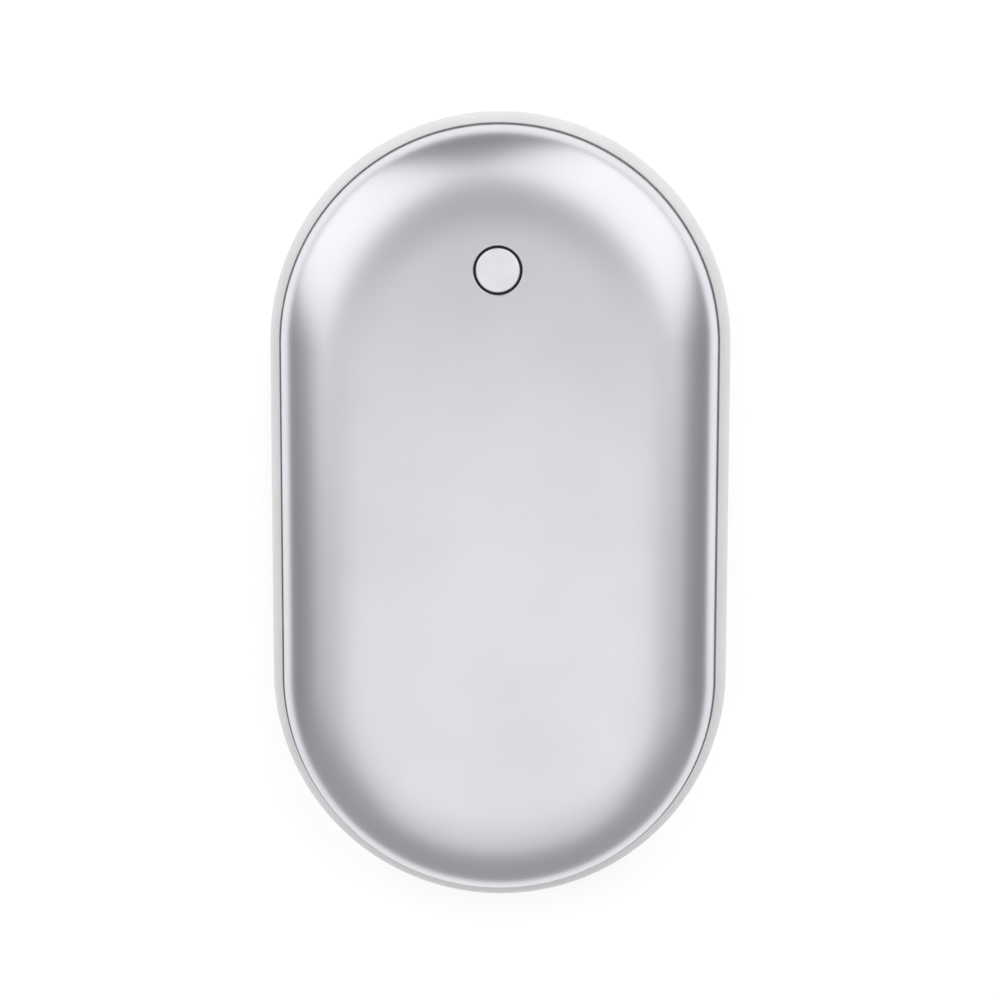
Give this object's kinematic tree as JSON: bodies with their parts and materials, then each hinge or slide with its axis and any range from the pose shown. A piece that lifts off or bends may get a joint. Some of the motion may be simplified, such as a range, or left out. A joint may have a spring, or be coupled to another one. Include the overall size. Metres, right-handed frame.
{
  "type": "rechargeable hand warmer",
  "caption": "Pebble-shaped rechargeable hand warmer: two satin aluminium shells on a pale band, with a push button in the front face and a charging port in the end.",
  "frame": {"origin": "middle of the flat back face that the warmer lies on", "axes": "+Z out of the front face with the button, +Y towards the button and charging end, X across the width"},
  "size_m": [0.061, 0.105, 0.0267],
  "materials": {
    "satin_aluminium": "bead-blasted and clear anodised, satin",
    "pale_plastic": "fine moulded texture, silver grey",
    "button_plastic": "satin, painted silver",
    "black_plastic": "moulded",
    "chassis_plastic": "heat-resistant moulding",
    "clear_plastic": "clear, polished",
    "adhesive": "cured bead",
    "polyimide": "amber film over an etched heater track",
    "foam": "closed-cell foam",
    "cell_steel": "nickel plated",
    "cell_roll": "wound foil",
    "cell_sleeve": "heat-shrunk film",
    "insulator": "pressed",
    "nickel": "rolled strip",
    "red_insulation": "silicone",
    "black_insulation": "silicone",
    "thermistor_glass": "epoxy bead",
    "tinned_copper": "enamelled",
    "board_laminate": "green solder mask",
    "port_steel": "bright nickel",
    "gold_plate": "plated",
    "spring_steel": "rolled",
    "light_body": "moulded lens",
    "ferrite": "pressed powder",
    "ceramic_tan": "fired ceramic",
    "screw_steel": "zinc plated"
  },
  "bodies": {
    "body": {"front_shell": "satin_aluminium", "back_shell": "satin_aluminium", "mid_band": "pale_plastic", "front_bond": "adhesive", "back_bond": "adhesive", "front_chassis": "chassis_plastic", "back_chassis": "chassis_plastic", "front_heater_film": "polyimide", "back_heater_film": "polyimide", "front_foam": "foam", "back_foam": "foam", "cell_can_left": "cell_steel", "cell_can_right": "cell_steel", "cell_core_left": "cell_roll", "cell_core_right": "cell_roll", "cell_cap_left": "cell_steel", "cell_cap_right": "cell_steel", "cell_gasket_left": "insulator", "cell_gasket_right": "insulator", "cell_sleeve_left": "cell_sleeve", "cell_sleeve_right": "cell_sleeve", "strip_positive": "nickel", "strip_negative": "nickel", "lead_positive": "red_insulation", "lead_negative": "black_insulation", "front_heater_leads": "red_insulation", "back_heater_leads": "red_insulation", "thermistor": "thermistor_glass", "thermistor_leads": "tinned_copper", "main_board": "board_laminate", "port_shell": "port_steel", "port_tongue": "black_plastic", "port_contacts": "gold_plate", "switch_base": "black_plastic", "switch_cover": "spring_steel", "switch_dome": "spring_steel", "switch_legs": "tinned_copper", "indicator_leds": "light_body", "light_pipe": "clear_plastic", "inductor": "ferrite", "charge_chip": "black_plastic", "control_chip": "black_plastic", "heater_transistors": "black_plastic", "capacitors": "ceramic_tan", "board_screws": "screw_steel", "chassis_screws": "screw_steel"},
    "button": {"button_cap": "button_plastic"},
    "plunger": {"switch_plunger": "black_plastic"}
  },
  "joints": [
    {"name": "button_press", "type": "slide", "parent": "body", "child": "button", "axis": [0, 0, -1], "range_m": [0, 0.0003], "stiffness_N_per_m": 3300},
    {"name": "plunger_press", "type": "slide", "parent": "body", "child": "plunger", "axis": [0, 0, -1], "range_m": [0, 0.0003], "deforming": ["switch_dome"]}
  ],
  "couplings": [
    {"joint": "plunger_press", "follows": "button_press", "ratio": 1}
  ]
}
